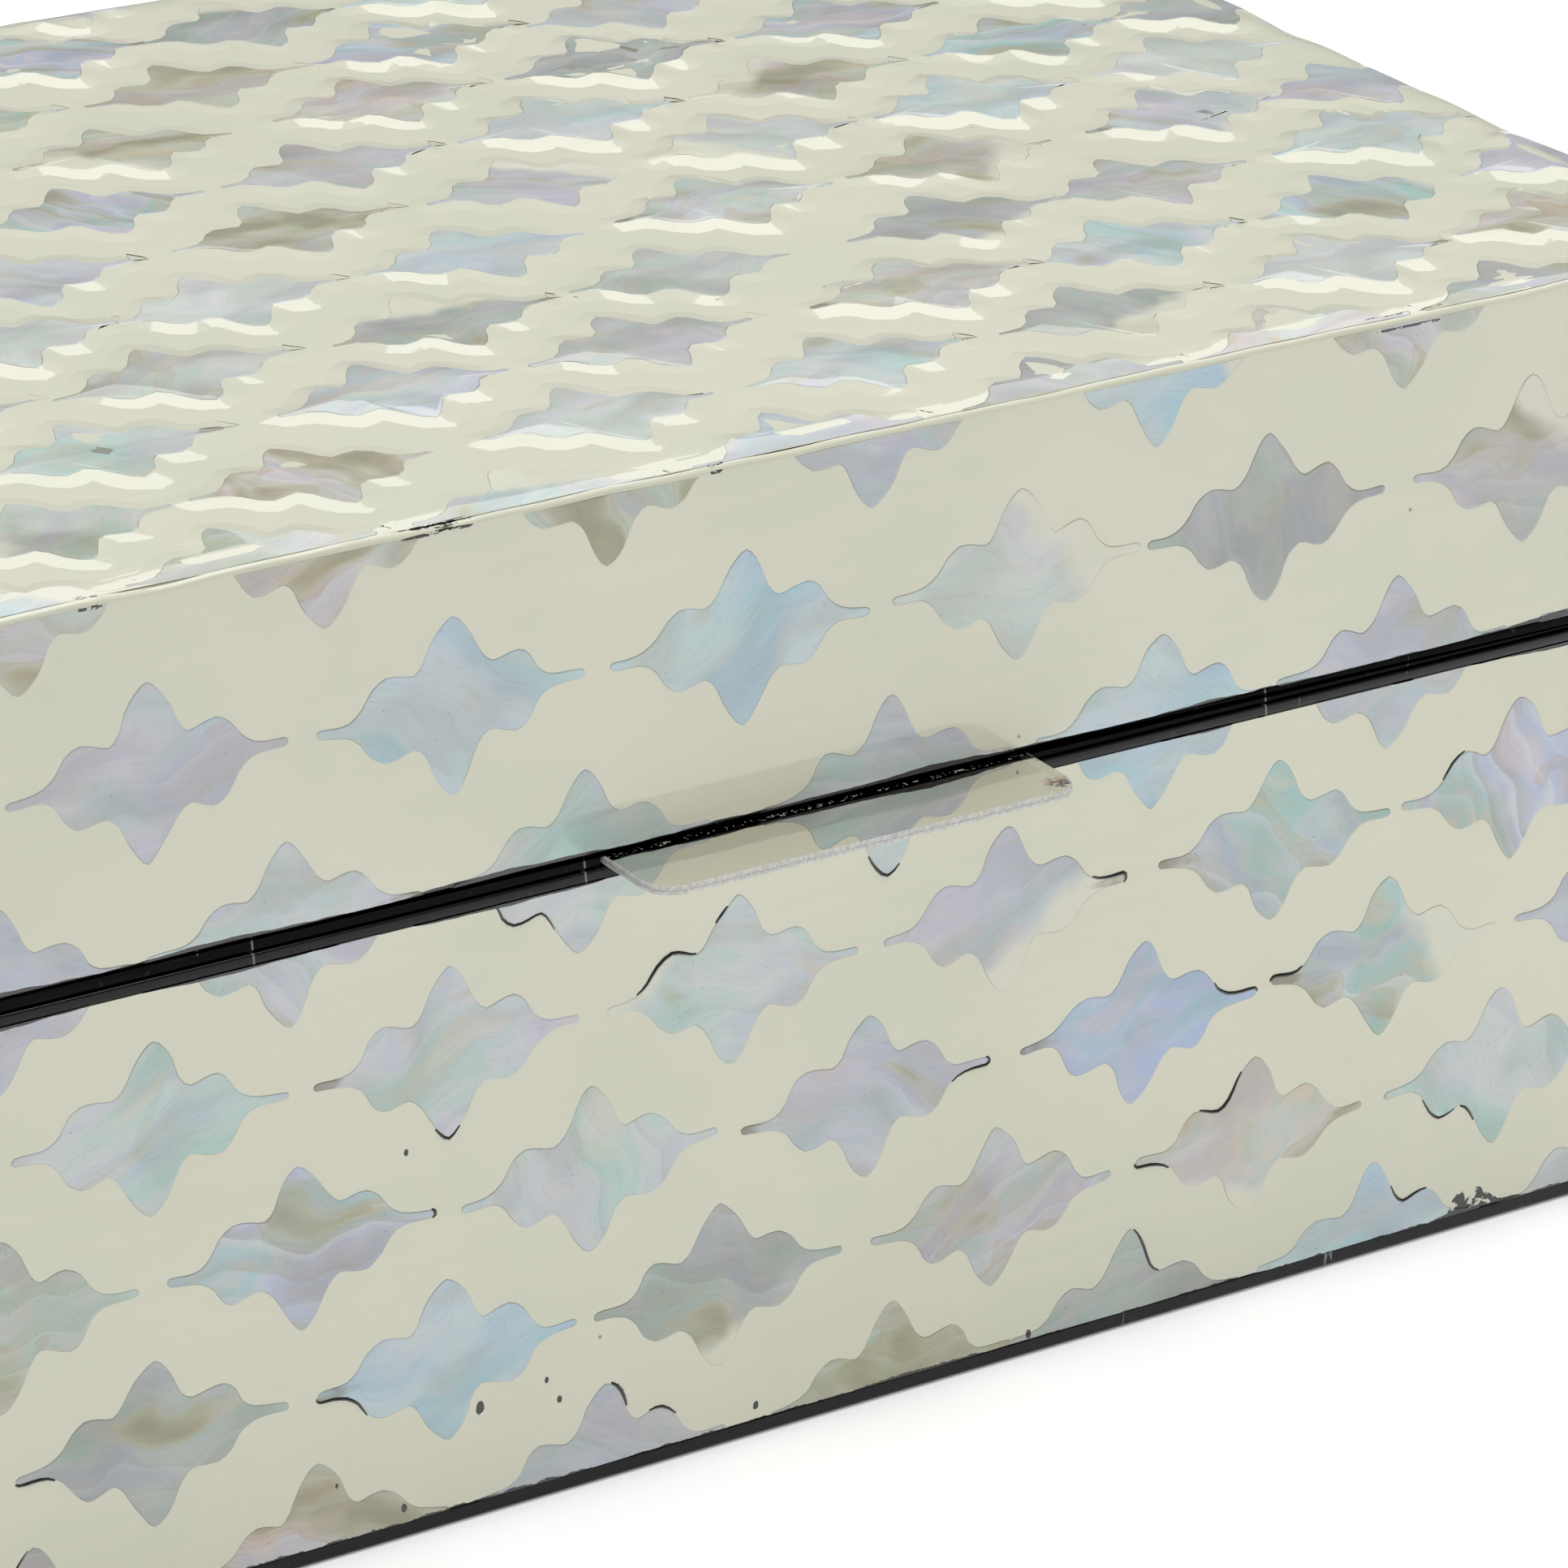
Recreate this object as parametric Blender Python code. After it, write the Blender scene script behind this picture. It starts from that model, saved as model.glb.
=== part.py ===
"""A lidded box of black-lacquered wood, skinned in cream resin inlaid with mother-of-pearl shells.

The origin is the middle of the underside. X runs along the front to the right, Y into the depth,
Z up. The lid only rests on the base, round a lip that keeps it in place.
"""

import math

import bmesh
import bpy
from mathutils import Vector

# Outside of the box, in metres
BOX_WIDTH = 0.228
BOX_DEPTH = 0.149
BASE_HEIGHT = 0.066
LID_HEIGHT = 0.0382
CORNER_RADIUS = 0.0016
TOP_EDGE_RADIUS = 0.0012
FOOT_EASE = 0.0004

# Wooden carcasses, and the lip that holds the lid in place
CARCASS_WALL = 0.008
FLOOR_THICKNESS = 0.006
LID_PLATE = 0.008
LIP_HEIGHT = 0.005
LIP_WIDTH = 0.0035
LIP_CLEARANCE = 0.0006

# Black-painted strips of bare carcass along the foot and the rims
FOOT_STRIP = 0.0019
BASE_RIM_STRIP = 0.0012

# Clear thumb tab, let into the underside of the lid's rim
TAB_WIDTH = 0.0489
TAB_REACH = 0.0096
TAB_THICKNESS = 0.0009
TAB_CORNER = 0.003
TAB_LAND = 0.0011

# Shells of the front, and how they are laid in staggered rows
SHELL_LENGTH = 0.0292
SHELL_HEIGHT = 0.0180
SHELL_THICKNESS = 0.0011
STALK_WIDTH = 0.0011
RESIN_BACK = 0.0008
TIP_GAP = 0.00275
COLUMN_GAP = 0.0146
PATTERN_SHIFT = -0.0094
ROW_LAP = 0.0011
EDGE_MARGIN = 0.0015

# Gap between pieces that touch or are bedded in each other
FIT = 0.0003

# A quarter of a shell's outline from its upper tip to its stalk, as shares of its half length
# and half height: the ogee lobe, the notch and the round shoulder
QUARTER = ((0.14, 0.76), (0.195, 0.58), (0.29, 0.42), (0.45, 0.48), (0.59, 0.36))
STALK_ROOT = 0.73
STALK_FLARE = 1.5

# Sideways slips of the hand-laid shells, in tip gaps, by row and column
SLIPS = {("lid_1", 5): -0.75, ("lid_1", 6): -0.5, ("base_3", 5): 0.4, ("base_2", 5): 0.4, ("base_1", 3): -0.3}

# Levels and depths that follow from those sizes
INLAY = SHELL_THICKNESS + FIT + RESIN_BACK
INLAY_BED = INLAY + FIT
INNER_WALL = INLAY_BED + CARCASS_WALL
LIP_FACE = INNER_WALL - LIP_WIDTH
REBATE_FACE = LIP_FACE - LIP_CLEARANCE
LID_RIM = BASE_HEIGHT + FIT
LID_STRIP_TOP = LID_RIM + TAB_THICKNESS + 2 * FIT
BOX_TOP = LID_RIM + LID_HEIGHT
CEILING = BOX_TOP - INLAY_BED - LID_PLATE
FRONT = -BOX_DEPTH / 2
SHELL_PITCH = SHELL_LENGTH + TIP_GAP
ROW_STEP = (SHELL_HEIGHT + COLUMN_GAP) / 2
INNER_CORNER = 0.0005
CORNER_STEPS = 3


def clear_scene():
    """Remove every object that is already in the file."""
    for item in list(bpy.data.objects):
        bpy.data.objects.remove(item, do_unlink=True)


def new_collection(name):
    """A collection of its own, linked to the scene."""
    made = bpy.data.collections.new(name)
    bpy.context.scene.collection.children.link(made)
    return made


def finish(name, colour, roughness, metallic=0.0, alpha=1.0):
    """A material with one colour and gloss."""
    made = bpy.data.materials.new(name)
    made.use_nodes = True
    shader = made.node_tree.nodes["Principled BSDF"]
    shader.inputs["Base Color"].default_value = (*colour, 1.0)
    shader.inputs["Roughness"].default_value = roughness
    shader.inputs["Metallic"].default_value = metallic
    shader.inputs["Alpha"].default_value = alpha
    return made


def add_mesh(name, bm, material, collection):
    """Store a bmesh as a named object in a collection."""
    bmesh.ops.recalc_face_normals(bm, faces=bm.faces)
    mesh = bpy.data.meshes.new(name)
    bm.to_mesh(mesh)
    bm.free()
    made = bpy.data.objects.new(name, mesh)
    if material:
        mesh.materials.append(material)
    collection.objects.link(made)
    return made


def outline(inset, height):
    """The box's rounded outline set in by inset, as points at one height."""
    radius = max(CORNER_RADIUS - inset, INNER_CORNER)
    points = []
    for quarter, (side_x, side_y) in enumerate(((1, 1), (-1, 1), (-1, -1), (1, -1))):
        middle_x = side_x * (BOX_WIDTH / 2 - inset - radius)
        middle_y = side_y * (BOX_DEPTH / 2 - inset - radius)
        for step in range(CORNER_STEPS):
            angle = math.pi / 2 * (quarter + step / (CORNER_STEPS - 1))
            points.append((middle_x + radius * math.cos(angle), middle_y + radius * math.sin(angle), height))
    return points


def loft(name, steps, material, collection, closed_ring=False):
    """A solid that runs round the box: each step gives how far in its outline is, and its height."""
    bm = bmesh.new()
    loops = [[bm.verts.new(point) for point in outline(inset, height)] for inset, height in steps]
    following = loops[1:] + loops[:1] if closed_ring else loops[1:]
    for loop, after in zip(loops, following):
        for i in range(len(loop)):
            bm.faces.new((loop[i - 1], loop[i], after[i], after[i - 1]))
    if not closed_ring:
        bm.faces.new(loops[0])
        bm.faces.new(loops[-1])
    return add_mesh(name, bm, material, collection)


def shell_outline():
    """The quatrefoil outline of a shell, anticlockwise from its right-hand stalk."""
    half_length, half_height, stalk = SHELL_LENGTH / 2, SHELL_HEIGHT / 2, STALK_WIDTH / 2
    quarter = [Vector((half_length, stalk)), Vector((half_length * STALK_ROOT, stalk * STALK_FLARE))]
    quarter += [Vector((half_length * x, half_height * y)) for x, y in reversed(QUARTER)]
    tip = Vector((0, half_height))
    left = [Vector((-p.x, p.y)) for p in reversed(quarter)]
    upper = quarter + [tip] + left
    return upper + [Vector((-p.x, -p.y)) for p in upper]


def grown(points, gap):
    """The outline moved outwards by gap, edge by edge."""
    moved = []
    for before, here, after in zip(points[-1:] + points[:-1], points, points[1:] + points[:1]):
        into, out = (here - before).normalized(), (after - here).normalized()
        normal = Vector((into.y + out.y, -into.x - out.x)).normalized()
        moved.append(here + normal * gap / normal.dot(Vector((out.y, -out.x))))
    return moved


def plate(name, points, thickness, front, material, collection):
    """A flat plate of a given outline, upright, with its front face at y = front of its origin."""
    curve = bpy.data.curves.new(name, "CURVE")
    curve.dimensions = "2D"
    curve.fill_mode = "BOTH"
    curve.extrude = thickness / 2
    spline = curve.splines.new("POLY")
    spline.points.add(len(points) - 1)
    for slot, point in zip(spline.points, points):
        slot.co = (point.x, point.y, 0, 1)
    spline.use_cyclic_u = True
    drawn = bpy.data.objects.new(name + "_curve", curve)
    collection.objects.link(drawn)
    seen = drawn.evaluated_get(bpy.context.evaluated_depsgraph_get())
    flat = bpy.data.meshes.new_from_object(seen)
    bpy.data.objects.remove(drawn, do_unlink=True)
    bm = bmesh.new()
    bm.from_mesh(flat)
    bmesh.ops.remove_doubles(bm, verts=bm.verts, dist=0.00001)
    for vert in bm.verts:
        vert.co = (vert.co.x, front + thickness / 2 - vert.co.z, vert.co.y)
    return add_mesh(name, bm, material, collection)


def cut(target, cutter):
    """Cut one object out of another with an exact Boolean."""
    cutter.hide_render = True
    cutter.display_type = "WIRE"
    modifier = target.modifiers.new("cut_" + cutter.name, "BOOLEAN")
    modifier.operation = "DIFFERENCE"
    modifier.solver = "EXACT"
    modifier.object = cutter


def base_pieces(black, resin, parts):
    """The base's carcass with its lip, and the resin skin round its four sides."""
    rim_strip = BASE_HEIGHT - BASE_RIM_STRIP
    lip_top = BASE_HEIGHT + LIP_HEIGHT
    steps = [(FOOT_EASE, 0), (0, FOOT_EASE), (0, FOOT_STRIP), (INLAY_BED, FOOT_STRIP)]
    steps += [(INLAY_BED, rim_strip), (0, rim_strip), (0, BASE_HEIGHT)]
    steps += [(LIP_FACE, BASE_HEIGHT), (LIP_FACE, lip_top), (INNER_WALL, lip_top), (INNER_WALL, FLOOR_THICKNESS)]
    loft("base_carcass", steps, black, parts)
    low, high = FOOT_STRIP + FIT, rim_strip - FIT
    skin = [(0, low), (0, high), (INLAY, high), (INLAY, low)]
    return loft("base_inlay", skin, resin, parts, closed_ring=True)


def lid_pieces(black, resin, parts):
    """The lid's carcass with its rebate, and the resin skin over its top and sides."""
    bed_top, rebate_top = BOX_TOP - INLAY_BED, LID_RIM + LIP_HEIGHT + LIP_CLEARANCE
    steps = [(INLAY_BED, bed_top), (INLAY_BED, LID_STRIP_TOP), (0, LID_STRIP_TOP), (0, LID_RIM)]
    steps += [(REBATE_FACE, LID_RIM), (REBATE_FACE, rebate_top), (INNER_WALL, rebate_top), (INNER_WALL, CEILING)]
    carcass = loft("lid_carcass", steps, black, parts)
    half_turn = TOP_EDGE_RADIUS * (1 - math.sqrt(0.5))
    low = LID_STRIP_TOP + FIT
    skin = [(TOP_EDGE_RADIUS, BOX_TOP), (half_turn, BOX_TOP - half_turn), (0, BOX_TOP - TOP_EDGE_RADIUS)]
    skin += [(0, low), (INLAY, low), (INLAY, BOX_TOP - INLAY)]
    return carcass, loft("lid_inlay", skin, resin, parts)


def tab_outline(spare):
    """The tab seen from above: square at the back, round at its front corners, grown by spare."""
    half, tip = TAB_WIDTH / 2 + spare, -TAB_REACH - spare
    back = REBATE_FACE - TAB_LAND + spare
    right = []
    for step in range(CORNER_STEPS + 1):
        angle = math.pi / 2 * step / CORNER_STEPS
        reach = TAB_CORNER * (1 - math.cos(angle)), TAB_CORNER * (1 - math.sin(angle))
        right.append(Vector((half - reach[1], tip + reach[0])))
    right.sort(key=lambda point: point.x)
    return [Vector((-half, back))] + [Vector((-p.x, p.y)) for p in reversed(right)] + right + [Vector((half, back))]


def thumb_tab(carcass, clear, parts, cutters):
    """The clear tab and the slot in the lid's rim that it is let into."""
    for spare, thickness, place in ((0, TAB_THICKNESS, parts), (FIT, TAB_THICKNESS + 2 * FIT, cutters)):
        name = "tab_slot" if spare else "thumb_tab"
        lying = plate(name, tab_outline(spare), thickness, 0, None if spare else clear, place)
        lying.rotation_euler.x = -math.pi / 2
        lying.location = (0, FRONT, LID_RIM + TAB_THICKNESS + spare)
        if spare:
            cut(carcass, lying)


def row_centres(shifted):
    """Where the whole shells of a row lie along the front, left to right, with their column numbers."""
    start = PATTERN_SHIFT - SHELL_PITCH / 2 * shifted
    room = BOX_WIDTH / 2 - CORNER_RADIUS - EDGE_MARGIN - SHELL_LENGTH / 2
    first = math.ceil((-room - start) / SHELL_PITCH)
    last = math.floor((room - start) / SHELL_PITCH)
    return [(count + 1, start + (first + count) * SHELL_PITCH) for count in range(last - first + 1)]


def spaced_rows(name, low, high, stagger):
    """Whole rows between two rows that an edge cuts, evenly spaced as near ROW_STEP as they fit."""
    count = round((high - low) / ROW_STEP)
    return [(f"{name}_{i}", low + (high - low) * i / count, (stagger + i) % 2) for i in range(1, count)]


def front_rows():
    """Name, height and stagger of each row of whole shells on the front, from the foot up."""
    parting = BASE_HEIGHT + ROW_LAP
    base = spaced_rows("base", FOOT_STRIP, parting, 1)
    return base + spaced_rows("lid", parting, BOX_TOP + ROW_LAP, len(base))


def front_shells(skins, pearl, parts, cutters):
    """The whole shells of the front, each bedded in a pocket of the resin skin behind it."""
    shape = shell_outline()
    pocket_shape = grown(shape, FIT)
    for row, height, shifted in front_rows():
        for column, place in row_centres(shifted):
            place += SLIPS.get((row, column), 0) * TIP_GAP
            spot = (place, FRONT, height)
            shell = plate(f"front_shell_{row}_{column}", shape, SHELL_THICKNESS, 0, pearl, parts)
            shell.location = spot
            depth = SHELL_THICKNESS + 2 * FIT
            pocket = plate(f"pocket_{row}_{column}", pocket_shape, depth, -FIT, None, cutters)
            pocket.location = spot
            cut(skins[row.split("_")[0]], pocket)


def build():
    """Model the whole box."""
    clear_scene()
    parts, cutters = new_collection("shell_box"), new_collection("cutters")
    black = finish("black_lacquer", (0.012, 0.012, 0.013), 0.25)
    resin = finish("cream_resin", (0.72, 0.69, 0.55), 0.15)
    pearl = finish("mother_of_pearl", (0.55, 0.60, 0.60), 0.18)
    clear = finish("clear_acrylic", (0.9, 0.9, 0.88), 0.06, alpha=0.3)
    base_skin = base_pieces(black, resin, parts)
    lid_carcass, lid_skin = lid_pieces(black, resin, parts)
    thumb_tab(lid_carcass, clear, parts, cutters)
    front_shells({"base": base_skin, "lid": lid_skin}, pearl, parts, cutters)


build()
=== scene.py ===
"""The looks of a lidded box: cream resin set with mother-of-pearl, black rims and a clear thumb tab."""

import math
import random

import bmesh
import bpy
from mathutils import Matrix, Vector, noise


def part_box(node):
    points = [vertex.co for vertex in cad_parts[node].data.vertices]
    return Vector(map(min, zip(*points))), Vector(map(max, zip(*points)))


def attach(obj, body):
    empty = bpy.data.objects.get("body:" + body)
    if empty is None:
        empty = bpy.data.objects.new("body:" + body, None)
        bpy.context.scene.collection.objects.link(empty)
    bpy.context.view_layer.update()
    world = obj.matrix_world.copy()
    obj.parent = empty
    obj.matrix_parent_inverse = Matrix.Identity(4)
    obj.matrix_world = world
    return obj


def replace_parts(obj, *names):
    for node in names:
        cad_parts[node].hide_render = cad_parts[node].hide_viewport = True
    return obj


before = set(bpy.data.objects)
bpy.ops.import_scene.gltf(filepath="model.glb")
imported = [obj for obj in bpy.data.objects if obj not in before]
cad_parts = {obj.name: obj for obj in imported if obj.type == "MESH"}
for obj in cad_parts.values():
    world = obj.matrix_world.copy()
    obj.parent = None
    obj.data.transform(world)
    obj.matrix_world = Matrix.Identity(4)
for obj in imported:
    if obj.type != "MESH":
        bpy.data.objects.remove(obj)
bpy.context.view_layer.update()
bpy.ops.object.select_all(action="DESELECT")

MM = 0.001
UP = Vector((0, 0, 1))

# Places read from the CAD parts
SKIN_LOW, SKIN_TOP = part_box("lid_inlay")
BASE_SKIN_LOW, BASE_SKIN_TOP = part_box("base_inlay")
TAB_LOW, TAB_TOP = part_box("thumb_tab")
TAB_MIDDLE = (TAB_LOW.z + TAB_TOP.z) / 2
SHELL_LOW, SHELL_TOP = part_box("front_shell_base_1_1")
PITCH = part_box("front_shell_base_1_2")[0].x - SHELL_LOW.x
LID_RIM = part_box("lid_carcass")[0].z
FIT = 0.3 * MM
LID_PAINT_LINE = SKIN_LOW.z - FIT
BASE_PAINT_LINE = BASE_SKIN_TOP.z + FIT
FOOT_PAINT_LINE = BASE_SKIN_LOW.z - FIT
HALF_WIDTH, HALF_DEPTH = SKIN_TOP.x, SKIN_TOP.y
FRONT_LIMIT = 1 * MM - HALF_DEPTH
SHELL_HALF = (SHELL_TOP - SHELL_LOW) / 2

# Resin skin: its thickness, rounded edges, grid and gap to the black strips, and how far hand polishing
# leaves it out of true
SKIN = 2.2 * MM
EDGE_RADIUS = 0.5 * MM
GRID, SKIN_GAP = 2.0 * MM, 0.05 * MM
SWELL, SWELL_LENGTH = 0.06 * MM, 19 * MM
EDGE_ROLL, EDGE_REACH, EDGE_LINES = 0.42 * MM, 3.4 * MM, 4

# Eased arrises of the carcasses and the tab
CARCASS_ARRIS, TAB_ARRIS = 0.2 * MM, 0.14 * MM

# Shells: a thin plate with a chamfered rim; those of the lid's top lie on a low mound of resin
SHELL_BODY = 0.9 * MM
SHELL_PROUD, SHELL_SUNK, SHELL_CHAMFER = 0.05 * MM, 0.05 * MM, 0.3 * MM
SHELL_DOME, TOP_DOME, DOME_REACH = 0.02 * MM, 0.2 * MM, 5.5 * MM
SAW_SLIP, SAW_LENGTH, EDGE_FADE = 0.55 * MM, 5 * MM, 3 * MM
MOUND_RISE, MOUND_REACH = 0.38 * MM, 3.2 * MM
MOUND_WAIST, MOUND_WAIST_SHARE, MOUND_LEAN = 1.9 * MM, 0.15, 0.12
MOUND_UNEVEN, TIP_LOSS, TIP_START, TIP_LENGTH = 0.9, 0.7, 9, 4
LOW_MOUNDS, HIGH_MOUNDS = -70 * MM, 60 * MM
LID_KERF, BASE_KERF = 0.65 * MM, -0.5 * MM
PATTERN_SHIFT = -9.4 * MM
ROW_LAP = 1.1 * MM
TOP_SHARE = 0.9
TOP_PITCH, TOP_ROW_STEP = 28.8 * MM, 14.95 * MM
TOP_FIRST_ROW, TOP_SHIFT = 0.9 * MM, -1.0 * MM
FACE_MARGIN = 0.6 * MM


def paint(red, green, blue):
    """A colour given as seen, 0 to 255, as Blender's linear value."""
    seen = [value / 255 for value in (red, green, blue)]
    return tuple(v / 12.92 if v <= 0.04045 else ((v + 0.055) / 1.055) ** 2.4 for v in seen) + (1.0,)


CREAM = paint(220, 219, 199)
BLACK = paint(9, 9, 11)

# The shells' characters: two tints, how strongly they are layered, how far tan and olive spread
MOODS = {
    "sky": ((164, 199, 213), (194, 211, 212), 0.1, 0.05),
    "aqua": ((176, 206, 196), (204, 208, 202), 0.35, 0.3),
    "lilac": ((196, 190, 194), (180, 186, 196), 0.3, 0.4),
    "pale": ((184, 203, 206), (204, 212, 206), 0.2, 0.05),
    "chalk": ((212, 214, 206), (202, 208, 200), 0.15, 0.05),
    "smoke": ((142, 144, 130), (164, 166, 154), 0.3, 0.4),
    "mauve": ((174, 165, 154), (188, 183, 182), 0.5, 0.5),
    "mint": ((186, 200, 192), (204, 200, 206), 0.45, 0.35),
    "olive": ((168, 170, 134), (194, 196, 178), 0.5, 0.8),
    "ochre": ((176, 161, 112), (190, 180, 144), 0.5, 1.0),
    "tan": ((200, 182, 150), (208, 200, 190), 0.5, 0.8),
    "dusk": ((154, 148, 134), (176, 190, 212), 0.9, 0.8),
    "iris": ((146, 178, 216), (170, 178, 214), 0.35, 0.3),
    "reef": ((130, 170, 152), (166, 188, 186), 0.95, 0.7),
}

# The shells' moods as the photo shows them, row by row from the left
FRONT_MOODS = {
    "base_0": "olive smoke tan lilac olive smoke sky aqua",
    "base_1": "sky smoke sky smoke mauve tan aqua lilac",
    "base_2": "smoke olive dusk aqua lilac iris reef lilac",
    "base_3": "sky aqua mint aqua lilac reef dusk sky",
    "base_4": "sky lilac mint aqua mint sky lilac sky",
    "lid_1": "sky lilac sky sky chalk smoke mauve lilac",
    "lid_2": "sky tan tan olive lilac sky tan sky",
}
TOP_MOODS = (
    "pale aqua olive aqua lilac smoke tan smoke pale",
    "olive olive tan chalk aqua smoke chalk tan",
    "pale mint aqua mint mauve tan aqua reef lilac",
    "smoke tan olive smoke olive smoke mauve pale",
    "pale olive chalk chalk pale olive ochre mint lilac",
    "tan smoke mint olive mauve chalk pale chalk",
    "olive pale ochre dusk mauve pale ochre reef smoke",
    "pale tan olive ochre tan smoke dusk tan",
    "smoke ochre pale olive ochre dusk lilac tan pale",
    "tan pale ochre dusk smoke pale lilac smoke",
    "pale smoke tan aqua pale olive smoke pale tan",
)

# Sideways slips of the hand-laid shells that an edge cuts, in millimetres
CUT_SLIPS = {
    "base_0": (0, 3, 2, 2, 4, 1, 0.5, 0),
    "base_4": (0, 0, -1.5, -1.5, 1.5, 1.5, -1, 0),
    "lid_2": (0, 3, 2.5, 1, -1, 0, -1.5, 0),
}

# Shells of the lid's top that lie well off their lattice: row, column and slip across, in millimetres
TOP_SLIPS = {
    (0, 2): -3, (0, 3): -2,
    (1, 1): -1.5, (1, 2): -2.5, (1, 6): 1.5,
    (2, 2): -2, (2, 5): 3.5, (2, 8): -2,
    (3, 5): 3.5, (3, 6): -1.5,
    (4, 2): 3, (4, 8): -6,
    (5, 2): -1.5, (5, 6): -2, (5, 7): -2,
    (6, 8): -5.5,
    (7, 3): -1.5,
    (8, 6): -3,
    (9, 3): 5, (9, 5): -2.5,
}

# Black gaps along shell edges on the front: row, column and the stretch of outline, in turns
# anticlockwise from the right-hand tip
SEAMS = {
    ("base_3", 1): ((0.72, 0.77),),
    ("base_3", 2): ((0.33, 0.44), (0.27, 0.29)),
    ("base_3", 3): ((-0.02, 0.07),),
    ("base_3", 5): ((0.37, 0.42),),
    ("base_2", 0): ((0.42, 0.48),),
    ("base_2", 1): ((-0.02, 0.02),),
    ("base_2", 3): ((0.93, 1.02),),
    ("base_2", 4): ((0.0, 0.09),),
    ("base_2", 5): ((0.43, 0.5),),
    ("base_1", 0): ((0.51, 0.57),),
    ("base_1", 1): ((0.5, 0.6),),
    ("base_1", 4): ((0.28, 0.36), (0.5, 0.57)),
    ("base_1", 5): ((0.58, 0.66), (0.67, 0.7)),
    ("base_4", 2): ((0.57, 0.7),),
    ("base_4", 3): ((0.71, 0.77),),
    ("base_0", 0): ((0.26, 0.4),),
    ("base_0", 2): ((0.1, 0.15), (0.2, 0.24)),
    ("base_0", 4): ((0.17, 0.24),),
    ("base_0", 5): ((0.12, 0.2),),
}

# A quarter of a shell's outline, from its right-hand tip to its top, in millimetres
QUARTER = (
    (14.6, 0), (14.2, 0.5), (12.6, 0.55), (10.9, 0.8), (9.6, 1.75), (8.6, 3.3), (7.2, 4.3),
    (5.6, 4.1), (4.2, 3.75), (3.1, 4.7), (2.2, 6.6), (1.2, 8.1), (0, 9),
)

# Hand work: a shell's turn in degrees and its tilt on the top, its shares of dome and mound, the turn of
# its grain in degrees, how far it strays from its mood, where a veil of cream or a brown end starts and
# how soon it is full in millimetres, and which end is brown
SHELL_TURN, TOP_TILT = 1.3, 0.008
DOME_SHARES, MOUND_SHARES = (0, 0, 0, 0.8, 1, 1.3), (0.1, 1.15)
GRAIN_TURNS, MOOD_SPREAD = (-28, -12, 0, 12, 30, 62), (0.7, 1.2)
VEIL_STARTS = (9.0, 9.0, 9.0, 9.0, 9.0, 4.5, 2.0)
VEIL_LENGTH, BROWN_START, BROWN_LENGTH = 6, 9.5, 4
BROWN_ENDS = (-1, 0, 0, 0, 0, 1)

# Black gaps: away from the front, the share of shells with one and its length in turns; and the radius
# of all gaps in millimetres
GAP_SHARE, GAP_LENGTHS, GAP_RADII = 0.3, (0.04, 0.1), (0.17, 0.24)

# Black paint: how its edge wanders, how far back it stays at each line, and the smear at the foot
PAINT_WANDER, PAINT_FLUTTER, PAINT_LAP = 1.9 * MM, 0.35 * MM, 0.4 * MM
LID_PAINT_BACK, BASE_PAINT_BACK, FOOT_PAINT_BACK, FOOT_RAG = 0.85 * MM, 0.75 * MM, 1.15 * MM, 1.4 * MM
SMEAR_PLACE, SMEAR_REACH, SMEAR_RISE = 84 * MM, 4.6 * MM, 2.8 * MM

# Clear tab: the stain by its right front corner, and where dust starts behind its front edge
STAIN_PLACE, STAIN_REACH = (1.7 * MM, 2.0 * MM), 2.2 * MM
DUST_START = 8.9 * MM

# Black flecks on the base's front, in millimetres: place along it, height and size
FLECKS = (
    (-37.5, 12, 0.6),
    (-30, 13, 0.3),
    (-28.5, 10.5, 0.35),
    (-53.5, 8, 0.25),
    (-46, 3.5, 0.4),
    (-5.5, 3.5, 0.4),
    (27.5, 2.5, 0.4),
    (-46, 41.5, 0.3),
)

# Hairline scratches across the base's painted rim in front, in millimetres along it
SCRATCHED = (-62.5, -26.5, 53.5)

# Chips of the lid's front edge, in millimetres: place and half length along it, place and reach down it
CHIPS = (
    (-91, 3.4, 0.6, 0.25),
    (-79, 1.6, 0.9, 0.3),
    (-43, 5.0, 0.85, 0.2),
    (-12.5, 1.1, 0.8, 0.22),
    (12, 0.9, 0.4, 0.18),
    (82, 4.6, 0.3, 0.3),
    (69, 6.0, 1.2, 0.2),
)

# Camera: direction, roll, place and lens, worked out from the pattern's perspective in the photo
CAMERA_AZIMUTH, CAMERA_ELEVATION, CAMERA_ROLL = 34.198, 23.551, 1.552
CAMERA_PLACE = (-0.38126, -0.62945, 0.36259)
CAMERA_LENS = 176.15

# Light of the surroundings and the floor, and the soft boxes: place, size and power in watts
SKY, FLOOR_GLOW = 0.25, 0.3
LIGHTS_AIM = (0, 0, 0.08)
SOFTBOXES = (
    ("overhead", (0.60, 0.72, 0.98), (1.7, 0.75), 4.8),
    ("zenith", (0.0, 0.1, 1.5), (1.4, 1.0), 12.0),
    ("front_top", (0.12, -0.5, 1.3), (0.5, 0.4), 5.0),
)


def step(operation):
    """A method of Wire that adds one Math node."""
    return lambda wire, other=0.0: wire.math(operation, wire, other)


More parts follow.
